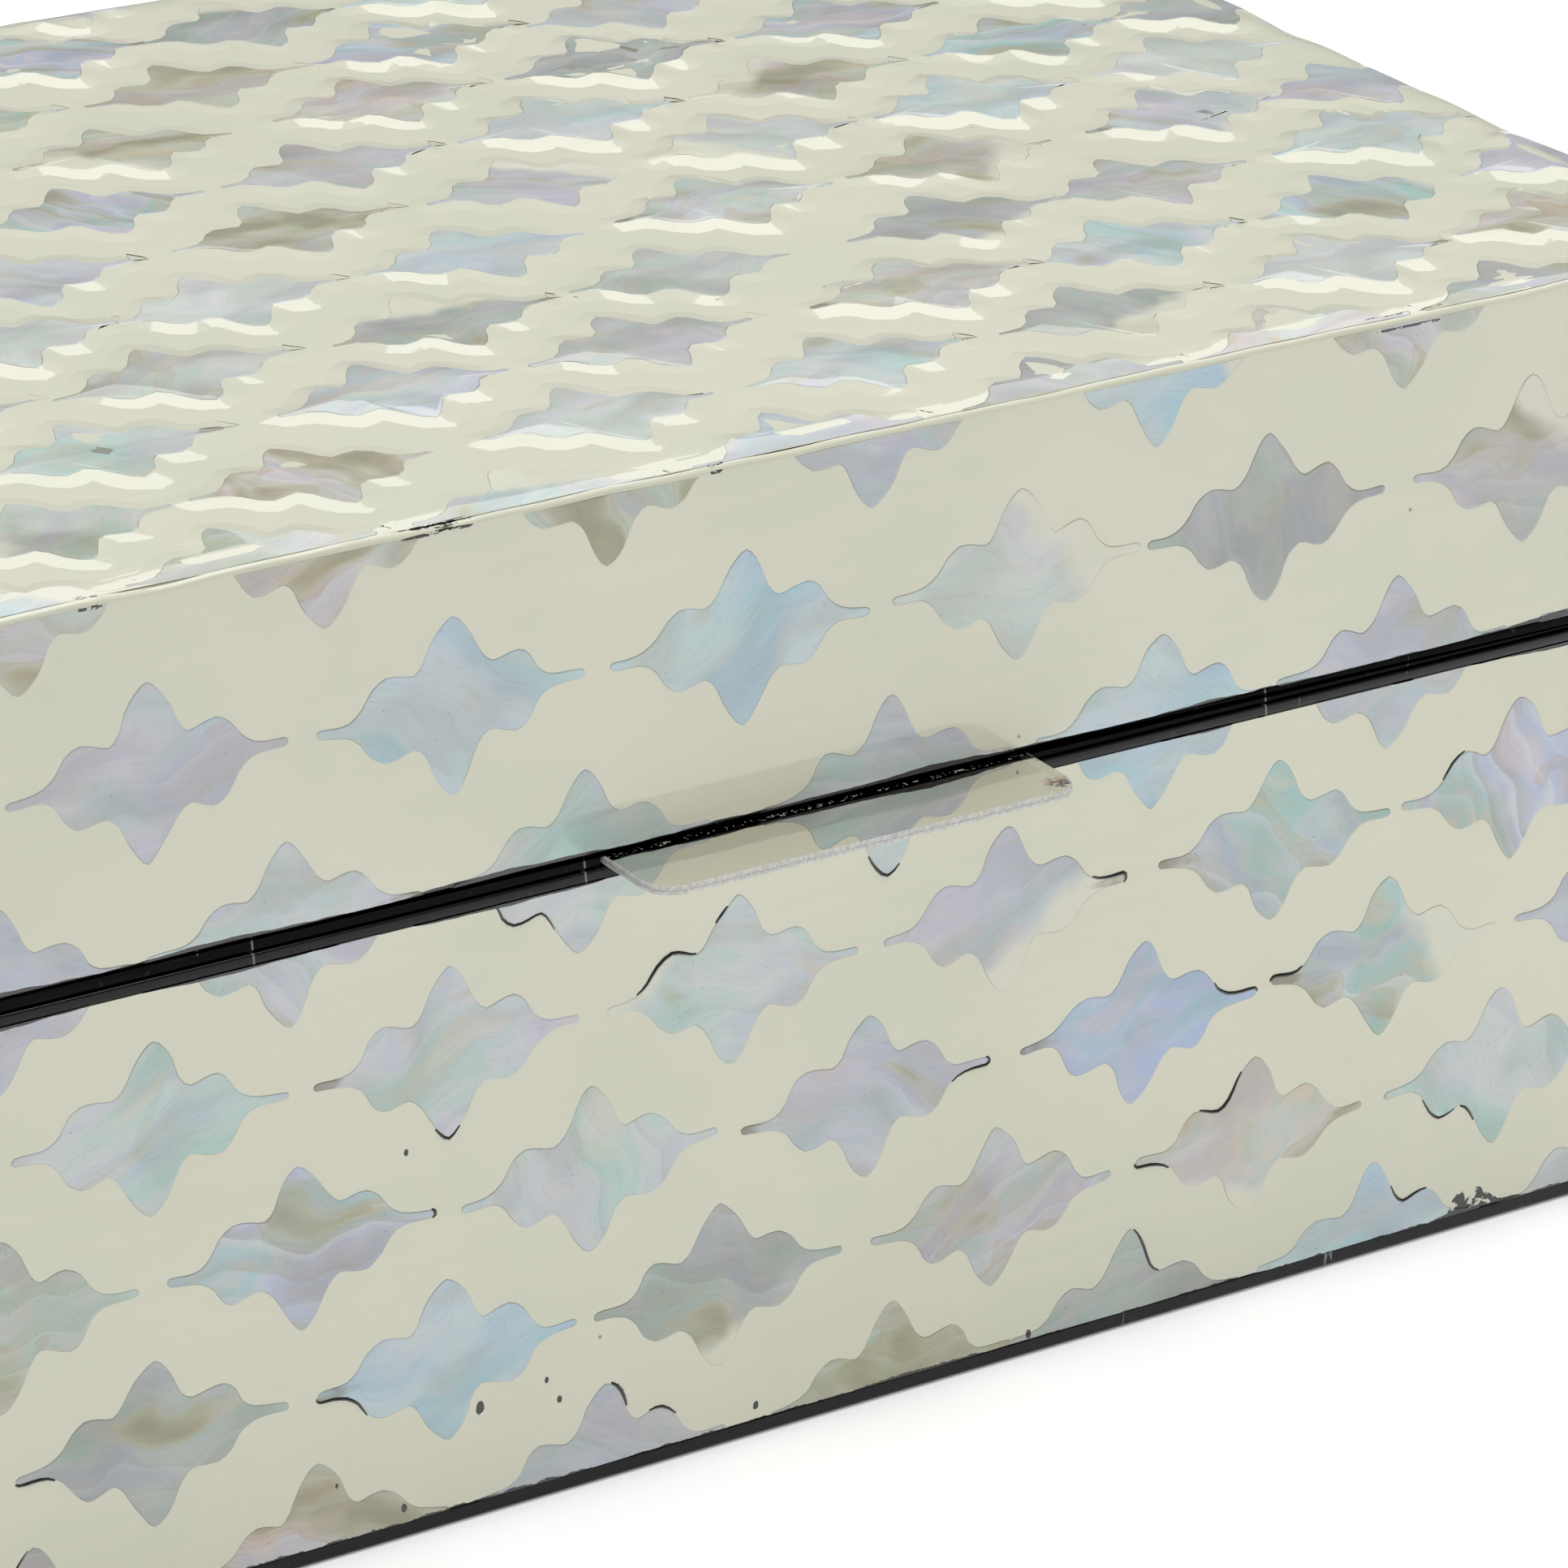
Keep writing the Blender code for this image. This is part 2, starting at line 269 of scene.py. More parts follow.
class Wire:
    """A node's output that takes Python's arithmetic, each step as a Math node."""

    __add__ = __radd__ = step("ADD")
    __sub__ = step("SUBTRACT")
    __mul__ = __rmul__ = step("MULTIPLY")
    __truediv__ = step("DIVIDE")
    __pow__ = step("POWER")
    __gt__ = step("GREATER_THAN")
    __lt__ = step("LESS_THAN")
    __abs__ = step("ABSOLUTE")
    highest = step("MAXIMUM")

    def __init__(self, finish, socket):
        self.finish, self.socket = finish, socket

    def math(self, operation, first, second):
        """One Math node."""
        return self.finish.node("ShaderNodeMath", {"operation": operation}, {0: first, 1: second})

    def __rsub__(self, other):
        return self.math("SUBTRACT", other, self)

    def rise(self, low, high):
        """0 below low, 1 above high, smooth between them."""
        sockets = {"Value": self, "From Min": low, "From Max": high}
        return self.finish.node("ShaderNodeMapRange", {"interpolation_type": "SMOOTHSTEP"}, sockets)


class Finish:
    """A material round one Principled shader."""

    def __init__(self, name, **constants):
        self.material = bpy.data.materials.new(name)
        self.material.use_nodes = True
        self.tree = self.material.node_tree
        self.shader = self.tree.nodes["Principled BSDF"]
        for key, value in constants.items():
            self.shader.inputs[key.replace("_", " ")].default_value = value

    def node(self, kind, settings, sockets, output=0):
        """Adds a node: its settings first, then the values or links of its sockets."""
        made = self.tree.nodes.new(kind)
        for key, value in settings.items():
            if key == "stops":
                ramp = made.color_ramp.elements
                while len(ramp) < len(value):
                    ramp.new(0.5)
                for stop, (place, colour) in zip(ramp, value):
                    stop.position, stop.color = place, colour
            else:
                setattr(made, key, value)
        for key, value in sockets.items():
            if isinstance(value, Wire):
                self.tree.links.new(value.socket, made.inputs[key])
            else:
                made.inputs[key].default_value = value
        return Wire(self, made.outputs[output])

    def drive(self, socket, wire):
        """Links a wire to one of the shader's own sockets."""
        self.tree.links.new(wire.socket, self.shader.inputs[socket])

    def place(self):
        """The point on the piece, in metres."""
        return self.node("ShaderNodeTexCoord", {}, {}, "Object")

    def attribute(self, name, output="Fac"):
        """What a mesh's attribute says at the point."""
        return self.node("ShaderNodeAttribute", {"attribute_name": name}, {}, output)

    def parts(self, vector):
        """A vector's x, y and z."""
        split = self.node("ShaderNodeSeparateXYZ", {}, {0: vector})
        return [Wire(self, split.socket.node.outputs[axis]) for axis in range(3)]

    def stretch(self, vector, scale, shift=(0, 0, 0)):
        """A vector scaled axis by axis and moved."""
        settings, sockets = {"operation": "MULTIPLY_ADD"}, {0: vector, 1: scale, 2: shift}
        return self.node("ShaderNodeVectorMath", settings, sockets)

    def noise(self, vector, scale, detail=2.0, roughness=0.5, distortion=0.0, output="Fac"):
        """Cloudy noise, 0 to 1."""
        sockets = {"Vector": vector, "Scale": scale, "Detail": detail, "Roughness": roughness}
        sockets["Distortion"] = distortion
        return self.node("ShaderNodeTexNoise", {}, sockets, output)

    def banded(self, vector, along, across, shift=(0, 0, 0), detail=1, roughness=0.5):
        """Noise in bands along x: its scale along them and across them."""
        return self.noise(self.stretch(vector, (along, across, across), shift), 1.0, detail, roughness)

    def mix(self, factor, first, second):
        """A colour between two."""
        sockets = {0: factor, 6: first, 7: second}
        return self.node("ShaderNodeMix", {"data_type": "RGBA"}, sockets, 2)

    def darken(self, colour, factor, share):
        """A colour taken down by share where factor is 1."""
        return self.mix(factor * share, colour, (0, 0, 0, 1))

    def ramp(self, factor, *stops):
        """A colour along a row of stops."""
        return self.node("ShaderNodeValToRGB", {"stops": stops}, {0: factor}, "Color")

    def bump(self, height, depth, below=None):
        """Relief of a height in metres, on the shader's normal."""
        sockets = {"Height": height, "Distance": depth, "Strength": 1.0}
        if below:
            sockets["Normal"] = below
        return self.node("ShaderNodeBump", {}, sockets, "Normal")


def cream_resin():
    """Polished cream resin: faint cloudiness, brush marks, specks of dust and slight orange peel."""
    made = Finish("cream_resin", Roughness=0.35, Coat_Weight=1.0, Coat_Roughness=0.02, IOR=1.45)
    place = made.place()
    clouds = made.noise(place, 34, 3, 0.55).rise(0.35, 0.68)
    colour = made.mix(clouds, CREAM, paint(215, 215, 194))
    brushed = made.noise(made.stretch(place, (60, 60, 420)), 1.0, 3, 0.6).rise(0.45, 0.75)
    colour = made.mix(brushed * 0.3, colour, paint(225, 223, 204))
    yellowed = made.noise(place, 11, 2, 0.5).rise(0.52, 0.8)
    colour = made.mix(yellowed * 0.35, colour, paint(218, 212, 180))
    sockets = {"Vector": place, "Scale": 170}
    centres = made.node("ShaderNodeTexVoronoi", {}, sockets, "Distance")
    picks = made.node("ShaderNodeTexVoronoi", {}, sockets, "Color")
    specks = (1 - centres.rise(0.02, 0.05)) * (made.parts(picks)[0] > 0.86)
    colour = made.mix(specks * 0.7, colour, paint(84, 80, 70))
    made.drive("Base Color", painted(made, place, colour))
    peel = made.bump(made.noise(place, 260, 2, 0.5), 0.00001)
    rubbed = made.noise(made.stretch(place, (110, 900, 300)), 1.0, 2, 0.6)
    made.drive("Normal", made.bump(rubbed, 0.00004, peel))
    return made.material


def painted(made, place, colour):
    """Black paint where it has run over the skins' edges, and the chips of the lid's front edge."""
    x, y, z = made.parts(place)
    level = made.stretch(place, (1, 1, 0))
    wander = made.noise(level, 60, 1, 0.5) * PAINT_WANDER + made.noise(level, 400, 1, 0.5) * PAINT_FLUTTER
    lid_side = z < LID_PAINT_LINE + (wander - LID_PAINT_BACK)
    base_side = (z > BASE_PAINT_LINE + (BASE_PAINT_BACK - wander * 0.8)) * (z < LID_RIM - FIT / 2)
    front = y < FRONT_LIMIT
    ragged = made.noise(level, 330, 3, 0.7)
    smudge = made.noise(place, 560, 3, 0.7).rise(0.36, 0.62)
    smear = (1 - (abs(x - SMEAR_PLACE) / SMEAR_REACH).rise(0.1, 1.0)) * smudge * front
    run = wander * 0.5 - FOOT_PAINT_BACK + ragged * FOOT_RAG + smear * SMEAR_RISE
    foot = z < FOOT_PAINT_LINE + run
    black = lid_side * (z > LID_PAINT_LINE - PAINT_LAP)
    black = black.highest(base_side).highest(foot)
    rough = made.noise(place, 900, 2, 0.6) * 0.8
    for along, height, radius in FLECKS:
        across, up = (x - along * MM) / (radius * MM), (z - height * MM) / (radius * 1.5 * MM)
        black = black.highest(((across * across + up * up) ** 0.5 + rough < 1.2) * front)
    colour = made.mix(black, colour, BLACK)
    flaking = made.noise(made.stretch(place, (520, 1600, 1600)), 1.0, 3, 0.75).rise(0.44, 0.54)
    edge = abs(y + HALF_DEPTH) + (SKIN_TOP.z - z)
    for along, length, start, reach in CHIPS:
        near = 1 - (abs(x - along * MM) / (length * MM)).rise(0.4, 1.0)
        strip = 1 - (abs(edge - start * MM) / (reach * MM)).rise(0.4, 1.0)
        colour = made.mix((near * strip * flaking).rise(0.25, 0.4), colour, paint(44, 42, 40))
    return colour


def nacre_tints(made, bent, streaks):
    """A shell's two tints, with a play of pink, blue and green, and shade."""
    first, second = made.attribute("tint_a", "Color"), made.attribute("tint_b", "Color")
    colour = made.mix(made.banded(bent, 0.07, 0.12).rise(0.36, 0.62), first, second)
    hues = made.ramp(
        made.banded(bent, 0.06, 0.15, (31, 7, 3), detail=2),
        (0.32, paint(210, 199, 206)),
        (0.42, paint(184, 193, 220)),
        (0.50, paint(204, 210, 212)),
        (0.58, paint(168, 208, 206)),
        (0.68, paint(208, 206, 186)),
    )
    colour = made.mix(streaks * 0.5 + 0.2, colour, hues)
    shaded = made.banded(bent, 0.08, 0.16, (5, 21, 13)).rise(0.4, 0.64)
    return made.mix(shaded * 0.18, colour, paint(116, 112, 80))


def nacre_layers(made, bent, colour, streaks, stained):
    """Layers that end in one darker lip, with a pale painted highlight before the next."""
    turn = made.parts(bent)[1] * 0.33
    layer = made.node("ShaderNodeMath", {"operation": "FLOOR"}, {0: turn})
    depth = turn - layer
    weight = made.node("ShaderNodeTexWhiteNoise", {"noise_dimensions": "1D"}, {"W": layer}, "Value")
    lip = (1 - depth.rise(0.03, 0.6)) * depth.rise(0.0, 0.07) * weight.rise(0.45, 0.9)
    lip_tint = made.mix(stained, paint(150, 166, 170), paint(164, 148, 112))
    colour = made.mix(lip * (streaks * 0.5 + 0.02), colour, lip_tint)
    # Painted highlight: a pale glint painted into the colour where each layer rises towards the next
    painted_glint = depth.rise(0.6, 1.0) * weight.rise(0.3, 0.8)
    return made.mix(painted_glint * streaks * 0.45, colour, paint(216, 222, 222))


def nacre_stains(made, bent, colour, stained):
    """Tan and olive stains with a warm outline, and fine growth lines."""
    spread = made.banded(bent, 0.055, 0.13, (17, 5, 9), detail=2, roughness=0.45)
    inside = spread - (0.72 - stained * 0.24)
    golden, tan, brown = paint(172, 160, 112), paint(176, 170, 128), paint(142, 134, 100)
    shade = made.ramp(inside, (0.0, golden), (0.05, tan), (0.16, brown))
    colour = made.mix(inside.rise(0.0, 0.11) * 0.75, colour, shade)
    contour = inside.rise(0.0, 0.008) * (1 - inside.rise(0.004, 0.05)) * stained
    colour = made.mix(contour * 0.4, colour, paint(176, 146, 98))
    return made.darken(colour, made.banded(bent, 0.1, 2.6).rise(0.5, 0.75), 0.07)


def nacre_wear_and_rim_shade(made, grain, colour):
    """Pits, cream resin that veils part of a shell, painted shade along its rim, and its brown stalk."""
    colour = made.darken(colour, made.noise(grain, 2.2, 1, 0.5).rise(0.76, 0.8), 0.35)
    veiled = made.attribute("veil") + (made.noise(grain, 0.25, 1, 0.5) - 0.5) * 0.5
    colour = made.mix(veiled.rise(0.0, 0.35) * 0.92, colour, CREAM)
    # Painted shade: the shell's rim darkened patchily towards olive grey, where a shadow gap in the resin
    # would shade it
    rim = 1 - made.attribute("rim").rise(0.45, 1.0)
    rim_shade_patches = made.noise(grain, 0.13, 1, 0.5).rise(0.4, 0.62)
    colour = made.mix(rim * (rim_shade_patches * 0.6 + 0.15), colour, paint(112, 108, 88))
    ends = made.attribute("stalk") * (made.noise(grain, 0.5, 1, 0.5) + 0.2)
    return made.mix(ends.rise(0.25, 0.7) * 0.8, colour, paint(124, 116, 94))


def nacre_relief(made, bent, place):
    """Soft waves and fine growth lines, and on the lid's top a slow swell over several shells."""
    on_top = made.parts(place)[2] > SKIN_TOP.z - 0.2 * MM
    swell = made.noise(made.stretch(place, (46, 80, 0), (0, 0, 3)), 1.0, 0, 0.5).rise(0.48, 0.72) * on_top
    waves = made.bump(made.banded(bent, 0.12, 0.2, (2, 9, 40)), 0.00028)
    return made.bump(made.banded(bent, 0.1, 1.1, detail=2), 0.00001, made.bump(swell, 0.0008, waves))


def mother_of_pearl():
    """Nacre, in a grain that bends and drifts, so that each shell is its own piece of it."""
    made = Finish("mother_of_pearl", Roughness=0.35, Coat_Weight=1.0, Coat_Roughness=0.02, IOR=1.5)
    place, grain = made.place(), made.attribute("grain", "Vector")
    streaks, stained = made.parts(made.attribute("nature", "Vector"))[:2]
    drift = made.noise(grain, 0.1, 1, 0.5, output="Color")
    bent = made.stretch(drift, (9, 9, 9), grain)
    colour = nacre_tints(made, bent, streaks)
    colour = nacre_layers(made, bent, colour, streaks, stained)
    colour = nacre_stains(made, bent, colour, stained)
    colour = nacre_wear_and_rim_shade(made, grain, colour)
    made.drive("Base Color", painted(made, place, colour))
    made.drive("Normal", nacre_relief(made, bent, place))
    return made.material


def black_lacquer(name, gloss):
    """Hand-painted black: soft brush ridges, hairline scratches and a little grey wear."""
    made = Finish(name, Coat_Weight=0.3 * gloss, Coat_Roughness=0.05, Specular_IOR_Level=0.15 * gloss)
    place = made.place()
    strokes = made.noise(made.stretch(place, (90, 90, 900)), 1.0, 4, 0.6)
    dusty = made.noise(place, 700, 2, 0.6).rise(0.66, 0.8)
    colour = made.mix(strokes.rise(0.5, 0.8) * 0.6, BLACK, paint(30, 30, 33))
    colour = made.mix(dusty * 0.35, colour, paint(92, 92, 92))
    scratches = made.noise(made.stretch(place, (700, 700, 60)), 1.0, 2, 0.5, 1.5).rise(0.73, 0.76)
    colour = made.mix(scratches * 0.7, colour, paint(150, 152, 156))
    x, y, z = made.parts(place)
    for along in SCRATCHED:
        tick = 1 - (abs(x - along * MM + (z - LID_RIM) * 0.12) / (0.16 * MM)).rise(0.3, 1.0)
        tick = tick * (y < FRONT_LIMIT) * (z > BASE_PAINT_LINE - PAINT_LAP)
        colour = made.mix(tick * 0.6, colour, paint(150, 150, 148))
    made.drive("Base Color", colour)
    made.drive("Roughness", strokes * 0.25 + (0.55 - 0.45 * gloss))
    made.drive("Normal", made.bump(strokes, 0.00006))
    return made.material


def seam_black():
    """The black filler that shows in gaps along a shell's edge."""
    made = Finish("seam_black", Roughness=0.3, Coat_Weight=0.5)
    fleck = made.noise(made.place(), 900, 2, 0.5).rise(0.5, 0.8)
    made.drive("Base Color", made.mix(fleck * 0.4, paint(16, 15, 16), paint(60, 56, 52)))
    return made.material


def clear_plate():
    """Clear acrylic: its top mirrors what it is seen against at a low angle; it has dust and a stain."""
    made = Finish("clear_acrylic", Metallic=1.0, Roughness=0.02, IOR=1.49)
    place = made.place()
    x, y, z = made.parts(place)
    across, along = x - (TAB_TOP.x - STAIN_PLACE[0]), y - (TAB_LOW.y + STAIN_PLACE[1])
    away = (across * across + along * along) ** 0.5 / STAIN_REACH
    blotch = (1 - away.rise(0.3, 1.0)) * made.noise(place, 1300, 3, 0.6).rise(0.42, 0.56)
    dust = made.noise(place, 2600, 2, 0.6).rise(0.6, 0.66) * (y > TAB_LOW.y + DUST_START)
    rusty = made.noise(place, 900, 1, 0.5).rise(0.45, 0.6)
    stained = made.mix(rusty, paint(152, 108, 70), paint(70, 62, 54))
    clean = made.mix(made.noise(place, 60, 2, 0.5), paint(246, 244, 236), paint(252, 251, 245))
    colour = made.mix(blotch, clean, stained)
    made.drive("Base Color", made.mix(dust, colour, paint(206, 196, 176)))
    made.drive("Metallic", 1 - blotch.highest(dust))
    made.drive("Roughness", blotch.highest(dust) * 0.5 + 0.02)
    facing = made.node("ShaderNodeLayerWeight", {}, {"Blend": 0.5}, "Facing")
    inside = made.node("ShaderNodeNewGeometry", {}, {}, "Backfacing")
    underside = z < TAB_MIDDLE
    gloss = (facing.rise(0.3, 0.62) * 0.6 + 0.28) * (1 - inside.highest(underside) * 0.85)
    made.drive("Alpha", gloss.highest(blotch * 0.85).highest(dust * 0.8))
    return made.material


def sanded_edge():
    """The plate's sanded, frosted edge."""
    made = Finish("sanded_edge", Roughness=0.4)
    place = made.place()
    grit = made.noise(place, 2400, 2, 0.6)
    colour = made.mix(grit.rise(0.35, 0.65), paint(192, 191, 188), paint(216, 215, 212))
    # A darker line along the middle height of the edge, between its two eased arrises
    seam = 1 - (abs(made.parts(place)[2] - TAB_MIDDLE) / (0.12 * MM)).rise(0.3, 1.0)
    made.drive("Base Color", made.mix(seam * 0.35, colour, paint(120, 118, 114)))
    made.drive("Alpha", 0.85 + grit * 0.1)
    made.drive("Normal", made.bump(grit, 0.00003))
    return made.material


def floor_white():
    """The pale studio floor."""
    made = Finish("studio_floor", Roughness=0.8, Emission_Color=(1, 1, 1, 1), Emission_Strength=FLOOR_GLOW)
    soft = made.noise(made.place(), 3, 2, 0.5)
    made.drive("Base Color", made.mix(soft, paint(246, 246, 246), paint(249, 249, 250)))
    return made.material


def select_only(piece):
    """Makes a piece the only selected one, and the active one."""
    bpy.ops.object.select_all(action="DESELECT")
    bpy.context.view_layer.objects.active = piece
    piece.select_set(True)


def add_object(name, content):
    """A new object in the scene for a mesh, curve, light or camera."""
    made = bpy.data.objects.new(name, content)
    bpy.context.scene.collection.objects.link(made)
    return made


def edit(piece):
    """Makes a piece the only active one and opens it for editing."""
    select_only(piece)
    bpy.ops.object.mode_set(mode="EDIT")
    bpy.ops.mesh.select_all(action="DESELECT")


def leave():
    """Back to object mode."""
    bpy.ops.object.mode_set(mode="OBJECT")


def leave_outwards():
    """Turns all faces of the edited piece outwards, then back to object mode."""
    bpy.ops.mesh.select_all(action="SELECT")
    bpy.ops.mesh.normals_make_consistent(inside=False)
    leave()


def pick(piece, kind, test):
    """Selects the faces, edges or verts of the edited piece that pass a test."""
    bpy.ops.mesh.select_mode(type={"verts": "VERT", "edges": "EDGE", "faces": "FACE"}[kind])
    bm = bmesh.from_edit_mesh(piece.data)
    for item in getattr(bm, kind):
        item.select_set(bool(test(item)))
    bm.select_flush_mode()
    bmesh.update_edit_mesh(piece.data)


def add_cube(name, low, high):
    """A cube between two corners, its place in its mesh."""
    bpy.ops.mesh.primitive_cube_add(size=1, location=(low + high) / 2, scale=high - low)
    bpy.ops.object.transform_apply(location=True, rotation=True, scale=True)
    piece = bpy.context.object
    piece.name = piece.data.name = name
    return piece


def apply_modifiers(piece):
    """Applies a piece's modifiers in order."""
    select_only(piece)
    for modifier in list(piece.modifiers):
        bpy.ops.object.modifier_apply(modifier=modifier.name)


def copy_node(name, node):
    """A copy of a CAD node under a new name, its loose triangles merged."""
    piece = add_object(name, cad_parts[node].data.copy())
    piece.data.materials.clear()
    edit(piece)
    bpy.ops.mesh.select_all(action="SELECT")
    bpy.ops.mesh.remove_doubles(threshold=0.00001)
    bpy.ops.mesh.dissolve_limited(angle_limit=math.radians(1))
    leave_outwards()
    return piece


def ease(piece, width):
    """Rounds a piece's sharp edges a little."""
    eased = piece.modifiers.new("eased", "BEVEL")
    eased.width, eased.segments, eased.limit_method = width, 2, "ANGLE"
    eased.angle_limit = math.radians(50)
    apply_modifiers(piece)


def smooth(piece, degrees=40):
    """Shades a piece smooth, but sharp at edges steeper than that."""
    select_only(piece)
    bpy.ops.object.shade_smooth_by_angle(angle=math.radians(degrees))


def polished(point, normal, lift=0.0):
    """Where a point of the true surface, lifted by that much, lies after hand polishing."""
    wave = noise.noise(point / SWELL_LENGTH) * SWELL
    inward = max(0.0, min(HALF_WIDTH - abs(point.x), HALF_DEPTH - abs(point.y)))
    closeness = max(0.0, 1 - inward / EDGE_REACH) * max(0.0, 1 - (SKIN_TOP.z - point.z) / EDGE_REACH)
    uneven = 0.8 + noise.noise(point / (0.5 * SWELL_LENGTH) + UP * 7)
    return point + normal * (wave + lift) - UP * EDGE_ROLL * closeness ** 2 * uneven


def gridded(piece, low, high):
    """Cuts a piece's faces into a grid of small ones."""
    for axis in range(3):
        normal = Vector([float(i == axis) for i in range(3)])
        count = max(1, round((high[axis] - low[axis]) / GRID))
        for i in range(1, count):
            bpy.ops.mesh.select_all(action="SELECT")
            place = low + (high - low) * i / count
            bpy.ops.mesh.bisect(plane_co=place, plane_no=normal)


def resin_skin(name, low, high, lid, material):
    """The resin over the lid's top and sides, or round the base's sides, its faces gently wavy."""
    piece = add_cube(name, low, high)
    edit(piece)
    pick(piece, "faces", lambda face: face.normal.z < -0.9 or (face.normal.z > 0.9 and not lid))
    bpy.ops.mesh.delete(type="FACE")
    pick(piece, "edges", lambda edge: not edge.is_boundary)
    bpy.ops.mesh.bevel(offset=EDGE_RADIUS, segments=4, affect="EDGES")
    gridded(piece, low, high)
    leave()
    mesh = piece.data
    open_rims = (low.z,) if lid else (low.z, high.z)
    moved = [polished(vert.co, vert.normal) for vert in mesh.vertices]
    for vert, place in zip(mesh.vertices, moved):
        at_rim = min(abs(vert.co.z - rim) for rim in open_rims) < 0.01 * MM
        vert.co = (place.x, place.y, vert.co.z) if at_rim else place
    wall = piece.modifiers.new("wall", "SOLIDIFY")
    wall.thickness, wall.offset, wall.use_even_offset = SKIN, -1, True
    apply_modifiers(piece)
    mesh.materials.append(material)
    smooth(piece, 50)
    return piece


def outline(rounds):
    """A shell's whole outline, anticlockwise from its right-hand tip, rounded by that many halvings."""
    quarter = [Vector(place) * MM for place in QUARTER]
    upper = quarter + [Vector((-p.x, p.y)) for p in reversed(quarter[:-1])]
    points = upper + [Vector((p.x, -p.y)) for p in reversed(upper[1:-1])]
    for _ in range(rounds):
        count, finer = len(points), []
        for i, point in enumerate(points):
            before, after, later = points[i - 1], points[(i + 1) % count], points[(i + 2) % count]
            finer += [point, ((point + after) * 9 - before - later) / 16]
        points = finer
    return points


def pushed(points, reach):
    """An outline moved outwards by that much, square to its run, or inwards where it is negative."""
    count = len(points)
    span = count // 24
    moved = []
    for i, point in enumerate(points):
        run = points[(i + span) % count] - points[i - span]
        moved.append(point + Vector((run.y, -run.x)).normalized() * reach)
    return moved


FINE_OUTLINE, OUTLINE = outline(1), outline(0)


def shell_blank(points, bodied):
    """One shell plate, modelled once: rim, chamfer and top, with a body under them if that shows."""
    bpy.ops.mesh.primitive_circle_add(vertices=len(points), radius=1)
    piece = bpy.context.object
    for vert, point in zip(piece.data.vertices, pushed(points, SHELL_CHAMFER / 3)):
        vert.co = (point.x, point.y, -SHELL_SUNK)
    edit(piece)
    bpy.ops.mesh.select_all(action="SELECT")
    if bodied:
        bpy.ops.mesh.extrude_edges_move(TRANSFORM_OT_translate={"value": (0, 0, -SHELL_BODY)})
    bpy.ops.mesh.edge_face_add()
    pick(piece, "verts", lambda vert: vert.co.z > -SHELL_SUNK - 0.01 * MM)
    bpy.ops.mesh.select_mode(type="EDGE")
    bpy.ops.mesh.extrude_edges_move(TRANSFORM_OT_translate={"value": (0, 0, SHELL_SUNK + SHELL_PROUD)})
    bpy.ops.mesh.edge_face_add()
    leave()
    top = [vert for vert in piece.data.vertices if vert.co.z > 0]
    for vert, point in zip(top, pushed(points, -SHELL_CHAMFER * 2 / 3)):
        vert.co.xy = point
    edit(piece)
    across, along = (1, 0, 0), (0, 1, 0)
    for place, normal in ((-DOME_REACH, across), (0, across), (DOME_REACH, across), (0, along)):
        pick(piece, "faces", lambda face: face.calc_center_median().z > 0.9 * SHELL_PROUD)
        bpy.ops.mesh.bisect(plane_co=(place, 0, 0), plane_no=normal)
    leave_outwards()
    for vert in piece.data.vertices:
        if abs(vert.co.y) < 0.01 * MM and abs(vert.co.x) < DOME_REACH + 0.5 * MM and vert.co.z > 0:
            vert.co.z += SHELL_DOME
    return piece


def mound_blank(points):
    """The low mound of resin that a shell of the lid's top lies on: steep beside it, soft below."""
    bpy.ops.mesh.primitive_circle_add(vertices=len(points), radius=1)
    piece = bpy.context.object
    piece.name = "mound"
    edit(piece)
    bpy.ops.mesh.select_all(action="SELECT")
    bpy.ops.mesh.edge_face_add()
    for _ in range(2):
        bpy.ops.mesh.extrude_region_move(TRANSFORM_OT_translate={"value": (0, 0, MM)})
    leave()
    verts = piece.data.vertices
    rings = [[vert for vert in verts if round(vert.co.z / MM) == i] for i in range(3)]
    levels = (MOUND_REACH, -SHELL_SUNK), (MOUND_WAIST, MOUND_RISE * MOUND_WAIST_SHARE), (0, MOUND_RISE)
    for ring, (reach, height) in zip(rings, levels):
        for vert, point in zip(ring, pushed(points, reach)):
            vert.co = (point.x, point.y - reach * MOUND_LEAN, height)
    for edge in piece.data.edges:
        edge.use_edge_sharp = all(verts[i].co.z > 0.9 * MOUND_RISE for i in edge.vertices)
    edit(piece)
    leave_outwards()
    return piece


class Face:
    """One face of the box: its middle, its two directions and how far shells may reach on it."""

    def __init__(self, middle, across, upwards, low, high):
        self.middle, self.across, self.upwards = Vector(middle), Vector(across), Vector(upwards)
        self.out = self.across.cross(self.upwards)
        self.low, self.high = Vector(low), Vector(high)

    def spot(self, point, lift):
        """Where a point of the face, lifted off it, is in the box's frame."""
        return self.middle + self.across * point.x + self.upwards * point.y + self.out * lift

    def settle(self, piece):
        """Moves what lies on the true face to where polishing leaves it."""
        for vert in piece.data.vertices:
            lift = (vert.co - self.middle).dot(self.out)
            vert.co = polished(vert.co - self.out * lift, self.out, lift)

    def margin(self, point):
        """How far a point is inside the face's limits."""
        return min(point.x - self.low.x, self.high.x - point.x, point.y - self.low.y, self.high.y - point.y)


def smoothstep(value):
    """0 below 0, 1 above 1, smooth between them."""
    held = min(1.0, max(0.0, value))
    return held * held * (3 - 2 * held)


